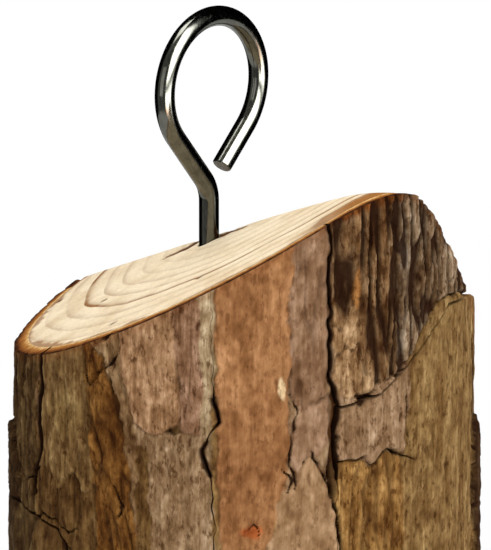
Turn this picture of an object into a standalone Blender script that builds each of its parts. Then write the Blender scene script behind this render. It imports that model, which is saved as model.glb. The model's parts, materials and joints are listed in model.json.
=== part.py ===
"""Hanging log feeder: a length of barked log, bored for suet, with dowel perches and a screw eye.

The log stands on its sawn foot with +Z up, and the eye's ring lies in the XZ plane. Azimuths are
in degrees: 0 faces -Y and 90 faces +X. The bark is laid out from the show side, the side of the log
with the red and the rough plates, so a bark azimuth is counted from SHOW_SIDE.
"""

import math

import bmesh
import bpy
from mathutils import Matrix, Vector

MM = 0.001

# Driving dimensions of the log
CORE_RADIUS = 46.3 * MM
LOG_HEIGHT = 300 * MM
SHOW_SIDE = -48.5
CORE_SIDES = 48
CORE_ROWS = 9
CORE_FIRST_CORNER = 2.5
OVAL = 0.010
LOBES = 0.007
SWELL = 0.005
SWELL_HEIGHT = 42 * MM

# Screw eye: where its shank leaves the wood, its wire and its loop
EYE_X = -5.1 * MM
EYE_Y = 5.8 * MM
EYE_Z = 280 * MM
WIRE_RADIUS = 2.15 * MM
LOOP_RADIUS = 15 * MM
LOOP_RISE = 33.8 * MM
LOOP_OFFSET = 1.0 * MM
LOOP_OPENS_AT = 45.0
LOOP_CLOSES_AT = 50.0
TAIL_RUN = 10.8 * MM
NECK_RADIUS = 8 * MM
SHANK_PLAIN = 3 * MM
THREAD_LENGTH = 24 * MM
THREAD_PITCH = 2.0 * MM
THREAD_DEPTH = 0.55 * MM
THREAD_POINT = 6 * MM
THREAD_SIDES = 12
THREAD_ROWS_PER_TURN = 4
THREAD_OVERLAP = 0.5 * MM
POINT_SHARE = 0.12
PILOT_RADIUS = WIRE_RADIUS + 0.3 * MM
PILOT_DEPTH = 30 * MM

# The top is sawn twice, so that rain runs off: a long cut and a steeper back cut
MAIN_CUT_SLOPE = 29.1
MAIN_CUT_FACES = -92.0
BACK_CUT_SLOPE = 48.9
BACK_CUT_FACES = 155.0
RIDGE_BEHIND_EYE = 3.5 * MM

# Suet ports and perches, in a spiral down the log
PORT_RADIUS = 17 * MM
PORT_FLOOR = 11 * MM
PORT_HEIGHTS = (182 * MM, 137 * MM, 92 * MM, 47 * MM)
PORT_AZIMUTHS = (0.0, 90.0, 180.0, 270.0)
PERCH_RADIUS = 4 * MM
PERCH_DROP = 28 * MM
PERCH_TAIL = 28.3 * MM
PERCH_TIP = 90 * MM
PERCH_EDGE = 1 * MM
HOLE_SIDES = 32
HOLE_GAP = 0.3 * MM

# Bark: plates of their own thickness, parted by cracks
BARK_GAP = 0.4 * MM
CRACK_HALF_WIDTH = 0.6 * MM
BARK_GRID_DEGREES = 7.5
BARK_GRID_HEIGHT = 20 * MM
SEAM_WAVE = 1.8
SEAM_WAVE_HEIGHT = 27 * MM
ABOVE_LOG = 312 * MM

# Cracks that run round the log, as (azimuth, height in mm) from the show side
FOOT = [(-90, 0), (270, 0)]
LOWER_BREAK = [
    (-90, 114), (-60, 112), (0, 116), (60, 110), (100, 106), (140, 99), (180, 106), (228, 117), (270, 114),
]
UPPER_BREAK = [
    (-90, 226), (-55, 224), (-25, 204), (21, 200), (60, 208), (100, 204), (150, 197), (200, 204), (240, 204),
    (270, 226),
]
CREST_EDGE = [(15, 254), (34, 257), (60, 272), (78, 271), (105, 262)]
TOP = [(-90, ABOVE_LOG / MM), (270, ABOVE_LOG / MM)]

# name: left azimuth, right azimuth, lower crack, upper crack, thickness in mm
BARK_PLATES = {
    "bark_upper_front_left": (-63, -6, UPPER_BREAK, TOP, 3.0),
    "bark_upper_front_centre": (-6, 21, UPPER_BREAK, TOP, 3.2),
    "bark_crest_rough": (21, 100, CREST_EDGE, TOP, 4.2),
    "bark_upper_front_right": (21, 100, UPPER_BREAK, CREST_EDGE, 3.0),
    "bark_upper_right": (100, 170, UPPER_BREAK, TOP, 3.4),
    "bark_upper_back": (170, 235, UPPER_BREAK, TOP, 3.0),
    "bark_upper_left": (235, 297, UPPER_BREAK, TOP, 3.4),
    "bark_middle_front": (-50, 18, LOWER_BREAK, UPPER_BREAK, 3.4),
    "bark_middle_front_right": (18, 84, LOWER_BREAK, UPPER_BREAK, 3.0),
    "bark_middle_right": (84, 164, LOWER_BREAK, UPPER_BREAK, 3.6),
    "bark_middle_back": (164, 232, LOWER_BREAK, UPPER_BREAK, 3.0),
    "bark_middle_left": (232, 310, LOWER_BREAK, UPPER_BREAK, 3.2),
    "bark_lower_front": (-10, 60, FOOT, LOWER_BREAK, 3.2),
    "bark_lower_right": (60, 130, FOOT, LOWER_BREAK, 3.0),
    "bark_lower_back": (130, 198, FOOT, LOWER_BREAK, 3.6),
    "bark_lower_left": (198, 278, FOOT, LOWER_BREAK, 3.0),
    "bark_lower_front_left": (278, 350, FOOT, LOWER_BREAK, 3.4),
}
ROUGH_PLATES = ("bark_crest_rough",)
RED_PLATES = ("bark_upper_front_centre",)


def make_collections():
    feeder = bpy.data.collections.new("hanging_log_feeder")
    cutters = bpy.data.collections.new("cutters")
    cutters.hide_render = True
    for collection in (feeder, cutters):
        bpy.context.scene.collection.children.link(collection)
    return feeder, cutters


def make_material(name, colour, roughness, metallic=0.0):
    material = bpy.data.materials.new(name)
    material.use_nodes = True
    shader = material.node_tree.nodes["Principled BSDF"]
    shader.inputs["Base Color"].default_value = (*colour, 1.0)
    shader.inputs["Roughness"].default_value = roughness
    shader.inputs["Metallic"].default_value = metallic
    return material


def outward(azimuth):
    """The level direction that an azimuth faces."""
    angle = math.radians(azimuth)
    return Vector((math.sin(angle), -math.cos(angle), 0))


def core_radius(azimuth, height):
    """The wood's radius, which is a little out of round and swells along the log."""
    angle = math.radians(azimuth - SHOW_SIDE)
    shape = OVAL * math.cos(2 * angle) + LOBES * math.cos(3 * angle - 1)
    swell = SWELL * math.sin(height / SWELL_HEIGHT + 2 * angle)
    return CORE_RADIUS * (1 + shape + swell)


def finish_mesh(name, mesh_builder, material, collection):
    """Turns a bmesh into a smooth-shaded object with sharp edges kept."""
    mesh = bpy.data.meshes.new(name)
    mesh_builder.to_mesh(mesh)
    mesh_builder.free()
    mesh.shade_smooth()
    mesh.set_sharp_from_angle(angle=math.radians(35))
    mesh.materials.append(material)
    obj = bpy.data.objects.new(name, mesh)
    collection.objects.link(obj)
    return obj


def loft(name, rings, material, collection):
    """A closed body through rings of points, all with the same number of points, lowest ring first."""
    builder = bmesh.new()
    rows = [[builder.verts.new(point) for point in ring] for ring in rings]
    sides = len(rows[0])
    for lower, upper in zip(rows, rows[1:]):
        for i in range(sides):
            j = (i + 1) % sides
            builder.faces.new((lower[i], lower[j], upper[j], upper[i]))
    builder.faces.new(list(reversed(rows[0])))
    builder.faces.new(rows[-1])
    bmesh.ops.recalc_face_normals(builder, faces=builder.faces)
    return finish_mesh(name, builder, material, collection)


def make_core(material, collection):
    rings = []
    azimuths = [CORE_FIRST_CORNER + 360 * i / CORE_SIDES for i in range(CORE_SIDES)]
    for row in range(CORE_ROWS + 1):
        height = LOG_HEIGHT * row / CORE_ROWS
        rings.append([outward(a) * core_radius(a, height) + Vector((0, 0, height)) for a in azimuths])
    return loft("log_core", rings, material, collection)


def crack_height(points, azimuth):
    """Height of a crack that runs round the log, at an azimuth from the show side."""
    azimuth = (azimuth + 90) % 360 - 90
    for (a, low), (b, high) in zip(points, points[1:]):
        if a <= azimuth <= b:
            return (low + (high - low) * (azimuth - a) / (b - a)) * MM
    nearest = min(points, key=lambda point: abs(point[0] - azimuth))
    return nearest[1] * MM


def seam_azimuth(azimuth, height):
    """Azimuth of an upright crack at a height: it wanders from side to side."""
    return azimuth + SEAM_WAVE * math.sin(height / SEAM_WAVE_HEIGHT + 5 * math.radians(azimuth))


def plate_point(plate, across, up):
    """Azimuth from the show side and height at a share of the way across and up a plate.

    The cracks round the log and the upright ones depend on each other, so they are settled in turns."""
    left, right, lower, upper, _ = BARK_PLATES[plate]
    inset = math.degrees(CRACK_HALF_WIDTH / CORE_RADIUS)
    azimuth = left + (right - left) * across
    for _ in range(4):
        bottom = crack_height(lower, azimuth) + (0 if lower is FOOT else CRACK_HALF_WIDTH)
        top = crack_height(upper, azimuth) - (0 if upper is TOP else CRACK_HALF_WIDTH)
        height = bottom + (top - bottom) * up
        start = seam_azimuth(left, height) + inset
        end = seam_azimuth(right, height) - inset
        azimuth = start + (end - start) * across
    return azimuth, height


def make_bark_plate(name, material, collection):
    """A sheet bent round the core between its four cracks, then given its thickness outwards."""
    left, right, lower, upper, thickness = BARK_PLATES[name]
    middle = (left + right) / 2
    span = crack_height(upper, middle) - crack_height(lower, middle)
    columns = math.ceil((right - left) / BARK_GRID_DEGREES)
    rows = max(2, math.ceil(span / BARK_GRID_HEIGHT))
    builder = bmesh.new()
    bmesh.ops.create_grid(builder, x_segments=columns, y_segments=rows, size=0.5)
    for vert in builder.verts:
        azimuth, height = plate_point(name, vert.co.x + 0.5, vert.co.y + 0.5)
        azimuth += SHOW_SIDE
        vert.co = outward(azimuth) * (core_radius(azimuth, height) + BARK_GAP) + Vector((0, 0, height))
    outer = bmesh.ops.extrude_face_region(builder, geom=list(builder.faces))["geom"]
    for vert in (element for element in outer if isinstance(element, bmesh.types.BMVert)):
        vert.co += Vector((vert.co.x, vert.co.y, 0)).normalized() * thickness * MM
    bmesh.ops.recalc_face_normals(builder, faces=builder.faces)
    return finish_mesh(name, builder, material, collection)


def as_cutter(obj):
    obj.display_type = "WIRE"
    obj.hide_render = True
    return obj


def make_saw_cut(name, point, slope, faces, collection):
    """A block that removes all that lies above a plane through a point, which falls towards an azimuth."""
    builder = bmesh.new()
    bmesh.ops.create_cube(builder, size=1.0)
    size = 4 * CORE_RADIUS + LOG_HEIGHT
    bmesh.ops.transform(
        builder, matrix=Matrix.Scale(size, 4) @ Matrix.Translation((0, 0, 0.5)), verts=builder.verts
    )
    mesh = bpy.data.meshes.new(name)
    builder.to_mesh(mesh)
    builder.free()
    block = bpy.data.objects.new(name, mesh)
    normal = outward(faces) * math.sin(math.radians(slope)) + Vector((0, 0, math.cos(math.radians(slope))))
    block.rotation_mode = "QUATERNION"
    block.rotation_quaternion = normal.to_track_quat("Z", "Y")
    block.location = point
    collection.objects.link(block)
    return as_cutter(block)


def make_rod(name, start, end, radius, collection, material=None, edge=0.0):
    """A round rod, or a drill if it has no material, between two points, with an optional eased far edge."""
    along = end - start
    builder = bmesh.new()
    bmesh.ops.create_cone(
        builder, cap_ends=True, segments=HOLE_SIDES, radius1=radius, radius2=radius, depth=along.length
    )
    if edge:
        rim = [e for e in builder.edges if all(v.co.z > 0 for v in e.verts)]
        bmesh.ops.bevel(builder, geom=rim, offset=edge, segments=2, profile=0.5, affect="EDGES")
    material = material or bpy.data.materials.get("cutter") or bpy.data.materials.new("cutter")
    rod = finish_mesh(name, builder, material, collection)
    rod.rotation_mode = "QUATERNION"
    rod.rotation_quaternion = along.to_track_quat("Z", "Y")
    rod.location = (start + end) / 2
    return rod


def cut(obj, cutter):
    modifier = obj.modifiers.new("cut_" + cutter.name, "BOOLEAN")
    modifier.operation = "DIFFERENCE"
    modifier.object = cutter


def fillet(corner, incoming, outgoing, radius, steps=6):
    """Points along an arc that rounds the corner between two directions, in the ring's plane."""
    turn = incoming.angle(outgoing)
    start = corner - incoming * radius * math.tan(turn / 2)
    side = 1 if incoming.x * outgoing.y - incoming.y * outgoing.x > 0 else -1
    centre = start + Vector((-incoming.y, incoming.x)) * side * radius
    spoke = start - centre
    return [centre + Matrix.Rotation(side * turn * i / steps, 2) @ spoke for i in range(steps + 1)]


def loop_line():
    """The wire's centreline in the ring's plane, from the shank's foot round to the open end.

    Its origin is the point where the shank leaves the wood."""
    centre = Vector((LOOP_OFFSET, LOOP_RISE))
    closes, opens = math.radians(LOOP_CLOSES_AT), math.radians(LOOP_OPENS_AT)
    left = centre + LOOP_RADIUS * Vector((-math.sin(closes), -math.cos(closes)))
    lean = Vector((-math.cos(closes), math.sin(closes)))
    corner = left - lean * (left.x / lean.x)
    points = [Vector((0, -SHANK_PLAIN))]
    points += fillet(corner, Vector((0, 1)), lean, NECK_RADIUS)
    sweep = 2 * math.pi - closes - opens
    steps = 40
    for i in range(steps + 1):
        angle = -math.pi / 2 - closes - sweep * i / steps
        points.append(centre + LOOP_RADIUS * Vector((math.cos(angle), math.sin(angle))))
    points.append(points[-1] + TAIL_RUN * Vector((-math.cos(opens), -math.sin(opens))))
    return points


def make_wire(name, points, material, collection):
    """The bent wire, as a curve made into a mesh so that the thread can be joined to it."""
    curve = bpy.data.curves.new(name, "CURVE")
    curve.dimensions = "3D"
    curve.bevel_depth = WIRE_RADIUS
    curve.bevel_resolution = 2
    curve.use_fill_caps = True
    spline = curve.splines.new("POLY")
    spline.points.add(len(points) - 1)
    for spline_point, point in zip(spline.points, points):
        spline_point.co = (point.x, 0, point.y, 1)
    guide = bpy.data.objects.new(name + "_line", curve)
    collection.objects.link(guide)
    bpy.context.view_layer.update()
    graph = bpy.context.evaluated_depsgraph_get()
    mesh = bpy.data.meshes.new_from_object(guide.evaluated_get(graph))
    builder = bmesh.new()
    builder.from_mesh(mesh)
    bmesh.ops.remove_doubles(builder, verts=builder.verts, dist=1e-6)
    bpy.data.objects.remove(guide)
    wire = finish_mesh(name, builder, material, collection)
    wire.location = (EYE_X, EYE_Y, EYE_Z)
    return wire


def thread_radius(depth, turn):
    """Radius of the screw at a depth below its start, where turn is the share of a turn round it."""
    phase = (depth / THREAD_PITCH + turn) % 1
    radius = WIRE_RADIUS - THREAD_DEPTH * (1 - abs(2 * phase - 1))
    run_out = min(1, (THREAD_LENGTH - depth) / THREAD_POINT)
    return radius * max(POINT_SHARE, run_out)


def make_thread(material, collection):
    """The threaded part of the shank, down to its gimlet point."""
    rows = round(THREAD_LENGTH / THREAD_PITCH) * THREAD_ROWS_PER_TURN
    rings = []
    for row in range(rows, -1, -1):
        depth = THREAD_LENGTH * row / rows
        ring = []
        for side in range(THREAD_SIDES):
            turn = side / THREAD_SIDES
            spoke = outward(360 * turn) * thread_radius(depth, turn)
            ring.append(spoke + Vector((0, 0, THREAD_OVERLAP - SHANK_PLAIN - depth)))
        rings.append(ring)
    thread = loft("screw_thread", rings, material, collection)
    thread.location = (EYE_X, EYE_Y, EYE_Z)
    return as_cutter(thread)


def make_screw_eye(material, feeder, cutters):
    eye = make_wire("screw_eye", loop_line(), material, feeder)
    join = eye.modifiers.new("join_thread", "BOOLEAN")
    join.operation = "UNION"
    join.object = make_thread(material, cutters)
    return eye


def plates_met(azimuth, height, radius):
    """Names of the bark plates that a hole of this radius passes through."""
    met = []
    from_show = azimuth - SHOW_SIDE
    reach = math.degrees(math.asin(radius / CORE_RADIUS))
    for name, (left, right, lower, upper, _) in BARK_PLATES.items():
        offset = (from_show - (left + right) / 2 + 180) % 360 - 180
        beside = abs(offset) < (right - left) / 2 + reach + SEAM_WAVE
        low, high = crack_height(lower, from_show), crack_height(upper, from_show)
        if beside and low - radius < height < high + radius:
            met.append(name)
    return met


def make_ports_and_perches(core, plates, material, feeder, cutters):
    for number, (azimuth, height) in enumerate(zip(PORT_AZIMUTHS, PORT_HEIGHTS), 1):
        out = outward(azimuth)
        outside = out * 2 * CORE_RADIUS
        port_centre = Vector((0, 0, height))
        port_floor = port_centre + out * PORT_FLOOR
        port = make_rod(f"port_drill_{number}", port_floor, port_centre + outside, PORT_RADIUS, cutters)
        perch_centre = port_centre - Vector((0, 0, PERCH_DROP))
        hole_radius = PERCH_RADIUS + HOLE_GAP
        hole_floor = perch_centre + out * (PERCH_TAIL - HOLE_GAP)
        hole = make_rod(f"perch_drill_{number}", hole_floor, perch_centre + outside, hole_radius, cutters)
        cut(core, as_cutter(port))
        cut(core, as_cutter(hole))
        for name in plates_met(azimuth, height, PORT_RADIUS):
            cut(plates[name], port)
        for name in plates_met(azimuth, height - PERCH_DROP, hole_radius):
            cut(plates[name], hole)
        make_rod(
            f"perch_{number}", perch_centre + out * PERCH_TAIL, perch_centre + out * PERCH_TIP, PERCH_RADIUS,
            feeder, material, PERCH_EDGE,
        )


def saw_top(core, plates, cutters):
    """Cuts the core and the bark together, so that the bark ends flush with the sawn wood."""
    eye_foot = Vector((EYE_X, EYE_Y, EYE_Z))
    ridge = eye_foot + outward(SHOW_SIDE + 180) * RIDGE_BEHIND_EYE
    main = make_saw_cut("main_saw_cut", eye_foot, MAIN_CUT_SLOPE, MAIN_CUT_FACES + SHOW_SIDE, cutters)
    back = make_saw_cut("back_saw_cut", ridge, BACK_CUT_SLOPE, BACK_CUT_FACES + SHOW_SIDE, cutters)
    crest = make_saw_cut("crest_saw_cut", Vector((0, 0, LOG_HEIGHT)), 0, 0, cutters)
    topmost = [plate for name, plate in plates.items() if BARK_PLATES[name][3] is TOP]
    for obj in [core, *topmost]:
        for cutter in (main, back):
            cut(obj, cutter)
    for plate in topmost:
        cut(plate, crest)


def bore_pilot_hole(core, cutters):
    top = Vector((EYE_X, EYE_Y, LOG_HEIGHT))
    floor = Vector((EYE_X, EYE_Y, EYE_Z - PILOT_DEPTH))
    cut(core, as_cutter(make_rod("pilot_drill", floor, top, PILOT_RADIUS, cutters)))


def bark_material_of(name, materials):
    if name in ROUGH_PLATES:
        return materials["rough_bark"]
    return materials["red_bark"] if name in RED_PLATES else materials["bark"]


def main():
    for obj in list(bpy.data.objects):
        bpy.data.objects.remove(obj)
    feeder, cutters = make_collections()
    materials = {
        "wood": make_material("pale_wood", (0.78, 0.62, 0.42), 0.65),
        "bark": make_material("bark", (0.27, 0.18, 0.10), 0.85),
        "red_bark": make_material("red_bark", (0.38, 0.19, 0.10), 0.8),
        "rough_bark": make_material("rough_bark", (0.16, 0.11, 0.07), 0.9),
        "dowel": make_material("dowel", (0.66, 0.47, 0.28), 0.6),
        "steel": make_material("plated_steel", (0.62, 0.61, 0.58), 0.15, 1.0),
    }
    core = make_core(materials["wood"], feeder)
    plates = {}
    for name in BARK_PLATES:
        plates[name] = make_bark_plate(name, bark_material_of(name, materials), feeder)
    saw_top(core, plates, cutters)
    bore_pilot_hole(core, cutters)
    make_ports_and_perches(core, plates, materials["dowel"], feeder, cutters)
    make_screw_eye(materials["steel"], feeder, cutters)


main()
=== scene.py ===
"""Looks of the hanging log feeder: cracked bark, sawn wood, dowel perches and a plated screw eye.

Lengths are metres, heights run along +Z, and a bark azimuth is in degrees from the show side, growing
to the right as seen from outside. Bark is laid out as (azimuth, height in mm) pairs.
"""

import json
import math

import bmesh
import bpy
import numpy as np
from mathutils import Matrix, Vector


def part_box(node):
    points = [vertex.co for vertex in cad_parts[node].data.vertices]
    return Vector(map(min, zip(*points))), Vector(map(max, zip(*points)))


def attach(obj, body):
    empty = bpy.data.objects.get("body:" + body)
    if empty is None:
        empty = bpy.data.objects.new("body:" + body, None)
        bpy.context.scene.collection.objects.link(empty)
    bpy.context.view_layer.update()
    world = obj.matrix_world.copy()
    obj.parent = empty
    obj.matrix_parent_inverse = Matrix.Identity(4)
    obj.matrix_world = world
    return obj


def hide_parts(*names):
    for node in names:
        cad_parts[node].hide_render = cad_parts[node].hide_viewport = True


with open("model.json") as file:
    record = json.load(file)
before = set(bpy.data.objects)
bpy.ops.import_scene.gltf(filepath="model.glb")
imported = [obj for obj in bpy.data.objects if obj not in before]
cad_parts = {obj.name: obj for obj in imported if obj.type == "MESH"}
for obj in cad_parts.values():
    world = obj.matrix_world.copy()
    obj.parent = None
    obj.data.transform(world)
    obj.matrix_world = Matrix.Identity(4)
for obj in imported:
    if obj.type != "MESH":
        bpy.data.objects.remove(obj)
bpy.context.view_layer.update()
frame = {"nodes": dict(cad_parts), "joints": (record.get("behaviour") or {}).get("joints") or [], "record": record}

MM = 0.001

# The log's shape, as in the CAD
SHOW_SIDE = -48.5
CORE_RADIUS = 46.3 * MM
OVAL = 0.010
LOBES = 0.007
SWELL = 0.005
SWELL_HEIGHT = 42 * MM
BARK_GAP = 0.4 * MM
SEAM_WAVE = 1.8
SEAM_WAVE_HEIGHT = 27 * MM
PORT_RADIUS = 17 * MM
PERCH_RADIUS = 4 * MM
HOLE_GAP = 0.3 * MM
PERCH_DROP = 28 * MM
PORTS = ((0, 182 * MM), (90, 137 * MM), (180, 92 * MM), (270, 47 * MM))

FOOT_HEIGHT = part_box("log_core")[0][2]
CREST_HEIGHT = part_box("log_core")[1][2]
CIRCUMFERENCE = 2 * math.pi * 50 * MM
BARK_THICKNESS = 3.2 * MM
MM_PER_DEGREE = CIRCUMFERENCE / MM / 360
# How far the wood fills the gap behind the bark, and how round the crest is worn, in mm
CORE_REACH = 0.33 * MM
CREST_WEAR = 2.1

# The view: a long lens from the show side, a little above the crest
VIEW_ELEVATION = 14.0
VIEW_DISTANCE = 1.5
VIEW_SPAN = 118.0 * MM
VIEW_AIM = (0.1 * MM, 272.3 * MM)
SENSOR = 36.0

# Cracks that part the bark plates, as in the CAD
FOOT = [(-90, 0), (270, 0)]
LOWER_BREAK = [
    (-90, 114), (-60, 112), (0, 116), (60, 110), (100, 106), (140, 99), (180, 106), (228, 117), (270, 114),
]
UPPER_BREAK = [
    (-90, 226), (-55, 224), (-25, 204), (21, 200), (60, 208), (100, 204), (150, 197), (200, 204), (240, 204),
    (270, 226),
]
CREST_EDGE = [(15, 254), (34, 257), (60, 272), (78, 271), (105, 262)]
SAWN_TOP = []
# The azimuths between which the plate below the crest's edge rises to the saw cut
CREST_SHOULDER = (84, 99)
# Half the width of a crack that runs round the log, and of an upright one that isn't drawn one by one
LEVEL_CRACK = 0.35 * MM
CRACK_OPEN = 0.3 * MM

# name: left azimuth, right azimuth, lower crack, upper crack, grid step in mm
FINE, PLAIN = 0.3, 0.8
BARK_PLATES = {
    "bark_upper_front_left": (-63, -6, UPPER_BREAK, SAWN_TOP, FINE),
    "bark_upper_front_centre": (-6, 21, UPPER_BREAK, SAWN_TOP, FINE),
    "bark_crest_rough": (21, 73, CREST_EDGE, SAWN_TOP, FINE),
    "bark_upper_front_right": (21, 100, UPPER_BREAK, CREST_EDGE, FINE),
    "bark_upper_right": (100, 170, UPPER_BREAK, SAWN_TOP, PLAIN),
    "bark_upper_back": (170, 235, UPPER_BREAK, SAWN_TOP, PLAIN),
    "bark_upper_left": (235, 297, UPPER_BREAK, SAWN_TOP, 0.5),
    "bark_middle_front": (-50, 18, LOWER_BREAK, UPPER_BREAK, 0.5),
    "bark_middle_front_right": (18, 84, LOWER_BREAK, UPPER_BREAK, PLAIN),
    "bark_middle_right": (84, 164, LOWER_BREAK, UPPER_BREAK, PLAIN),
    "bark_middle_back": (164, 232, LOWER_BREAK, UPPER_BREAK, PLAIN),
    "bark_middle_left": (232, 310, LOWER_BREAK, UPPER_BREAK, PLAIN),
    "bark_lower_front": (-10, 60, FOOT, LOWER_BREAK, PLAIN),
    "bark_lower_right": (60, 130, FOOT, LOWER_BREAK, PLAIN),
    "bark_lower_back": (130, 198, FOOT, LOWER_BREAK, PLAIN),
    "bark_lower_left": (198, 278, FOOT, LOWER_BREAK, PLAIN),
    "bark_lower_front_left": (278, 350, FOOT, LOWER_BREAK, PLAIN),
}
PORT_PLATES = {
    "bark_middle_front_right": 0, "bark_middle_right": 1, "bark_lower_left": 2, "bark_lower_front_left": 3,
}

# Upright cracks of the show side: how far each runs from its seam's azimuth, and its half width in mm,
# as (height in mm, degrees aside, half width); the others wander evenly and stand a little open
SHOW_CRACKS = {
    -63: [(200, -2, 0.05), (228, -3, 0.1), (233, -3.5, 0.6), (240, 1, 0.7), (248, 0, 0.9), (254, 1.2, 0.8),
          (260, 0.5, 0.7), (266, 0, 0.3)],
    -6: [(200, -1, 0.05), (224, -1, 0.2), (229, -1.2, 0.06), (235, -1.6, 0.18), (240, -2.2, 0.12),
         (243, -3.6, 0.45), (247, -4.2, 0.4), (250, -2.6, 0.12), (253, -0.5, 0.3), (256, -1.2, 0.45),
         (260, -1.8, 0.08), (270, -2, 0.05), (288, -2, 0.05)],
    21: [(200, 3, 0.05), (238, 1.5, 0.08), (243, 1, 0.5), (250, 0.3, 0.75), (257, 1, 0.7), (262, -0.8, 0.3),
         (280, -0.5, 0.25), (302, -0.5, 0.3)],
}

# Bark colours, as seen in even light, except that the shaded olive and the deepest brown have painted shadow in
# them and the crack brown is painted shade
GREY_OLIVE = (88, 65, 36)
KHAKI = (118, 89, 52)
DARK_UMBER = (92, 64, 32)
ORANGE_BROWN = (104, 66, 27)
FIBRE_GREY = (122, 92, 60)
TAN_PINK = (152, 114, 80)
MAUVE = (138, 102, 75)
GREY_TAN = (142, 112, 80)
PALE_STREAK = (156, 130, 96)
RED_BROWN = (150, 103, 64)
MAUVE_TAN = (143, 109, 81)
PINK_TAN = (140, 108, 77)
LIGHT_TAN = (158, 123, 88)
OCHRE = (142, 102, 54)
STRAW = (138, 106, 63)
# Dark brown with painted shadow: the lifted plate at the right edge, which lies in shade
SHADOWED_DEEP_BROWN = (54, 34, 18)
SHADED_OLIVE = (66, 47, 26)
ROUGH_GREY = (140, 114, 86)
ROUGH_BROWN = (142, 107, 71)
TORN_ORANGE = (126, 70, 28)
PORE_BROWN = (54, 30, 12)
# Painted shade: the dark brown put into cracks, furrow valleys and the gaps between plates
CREVICE_SHADE_BROWN = (34, 16, 6)
COMMON_COLOURS = (GREY_OLIVE, KHAKI, MAUVE, GREY_TAN, RED_BROWN, STRAW, FIBRE_GREY, OCHRE)

# How red, green and blue follow a shade: bark in the shade turns warmer
WARMING = (1.0, 1.22, 1.5)

# Flakes on the show side, painted in this order: outline, colour, lift in mm, furrow depth in mm,
# lean of the grain in degrees, and how open the crack round it is (0 to 1)
FLAKES = [
    ([(-97, 200), (-97, 270), (-64, 270), (-64, 232), (-67, 200)], GREY_OLIVE, 0.0, 0.7, 0, 0.3),
    ([(-64, 232), (-64, 268), (-41, 268), (-40, 250), (-40, 232), (-50, 229)], KHAKI, 0.1, 0.35, 0, 0.2),
    ([(-66, 200), (-65, 234), (-58, 237), (-54, 234), (-48, 237), (-44, 234), (-39, 236), (-36, 200)],
     DARK_UMBER, -0.3, 0.4, 0, 0.25),
    ([(-30, 200), (-29, 238), (-35, 256), (-40, 266), (-28, 276), (-23, 250), (-20, 200)],
     FIBRE_GREY, 0.1, 0.35, 14, 0.2),
    ([(-44, 268), (-37, 264), (-32, 254), (-29, 238), (-27, 222), (-25, 200), (-38, 200), (-39, 224),
      (-40, 240), (-43, 254)], ORANGE_BROWN, 0.2, 0.6, 14, 0.45),
    ([(-28, 251), (-17, 250), (-9, 253), (-8, 240), (-7, 200), (-24, 200), (-26, 236)],
     GREY_TAN, 0.0, 0.25, 0, 0.2),
    ([(-28, 200), (-27, 246), (-24, 246), (-22, 200)], DARK_UMBER, -0.1, 0.3, 4, 0.0),
    ([(-33, 272), (-17, 280), (-16, 262), (-16, 252), (-22, 249), (-28, 251), (-31, 262)],
     TAN_PINK, 0.35, 0.08, 0, 0.3),
    ([(-18, 280), (-9, 287), (-9, 262), (-10, 250), (-16, 251), (-16, 262)], MAUVE, 0.2, 0.3, 0, 0.3),
    ([(-11, 284), (-7, 288), (-7.5, 262), (-8.5, 244), (-10.5, 250), (-10.5, 264)],
     PALE_STREAK, 0.1, 0.3, 0, 0.2),
    ([(10, 302), (21, 308), (21, 285), (20, 257), (13, 255), (10, 262), (9.5, 275)],
     MAUVE_TAN, 0.15, 0.4, 0, 0.3),
    ([(-8, 292), (10.5, 302), (11, 270), (10, 256), (11, 244), (8, 234), (4, 222), (3, 200), (-7, 200),
      (-6.5, 235), (-7, 258)], RED_BROWN, 0.35, 0.1, 0, 0.35),
    ([(11.5, 247), (12, 240), (15, 245), (17, 247), (20, 240), (22, 232), (24, 222), (25, 200), (3, 200),
      (4, 222), (8, 235), (10, 243)], LIGHT_TAN, 0.1, 0.2, 0, 0.4),
    ([(11, 253), (15, 256), (20, 257.5), (21.5, 252), (18, 246), (15, 245), (12, 240), (11, 246)],
     MAUVE_TAN, 0.45, 0.15, 0, 0.5),
    ([(38, 200), (41, 230), (42, 246), (42, 264), (46, 270), (52, 274), (62, 276), (80, 274), (80, 200)],
     STRAW, 0.0, 0.22, 0, 0.25),
    ([(23, 262), (42, 266), (44, 258), (43, 250), (42, 242), (36, 244.5), (32, 242), (30, 244), (22.5, 244)],
     PINK_TAN, 0.3, 0.2, 0, 0.35),
    ([(22.5, 244), (30, 243.5), (32, 241.5), (36, 244), (41, 241.5), (42, 230), (40, 200), (25, 200),
      (24, 226), (22, 236)], OCHRE, 0.0, 0.5, 0, 0.4),
    # The lifted plate at the right edge: dark brown, darkened further as painted shadow
    ([(79, 235), (86, 243), (92, 234), (99, 240), (103, 222), (98, 212), (101, 201), (91, 206), (86, 196),
      (80, 208)], SHADOWED_DEEP_BROWN, 1.5, 1.2, 0, 0.6),
    ([(-96, 207), (-100, 220), (-96, 231), (-91, 240), (-82, 238), (-75, 231), (-77, 222), (-74, 213),
      (-81, 204)], SHADED_OLIVE, 1.2, 0.9, 0, 0.6),
    ([(33, 310), (108, 310), (108, 262), (77, 271), (62, 273), (56, 274.5), (50, 271), (47, 268), (44, 264.5),
      (36, 260)], ROUGH_GREY, 0.9, 1.25, 0, 0.8),
    ([(20.5, 310), (36, 310), (40, 285), (39, 262), (33, 259), (28, 256.5), (20.5, 258)],
     ROUGH_BROWN, 0.7, 1.5, 0, 0.6),
    ([(79, 290), (108, 290), (108, 262), (77, 271)], MAUVE, 1.0, 0.4, 0, 0.5),
]

# The grain of a flake: how far apart and how long its furrows are in mm, and the spread of their valleys
COMMON_FURROW = 0.2
COMMON_GRAIN = (2.7, 21, COMMON_FURROW)
GRAIN = {ROUGH_GREY: (2.3, 14, 0.36), ROUGH_BROWN: (2.8, 26, 0.36)}

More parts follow.
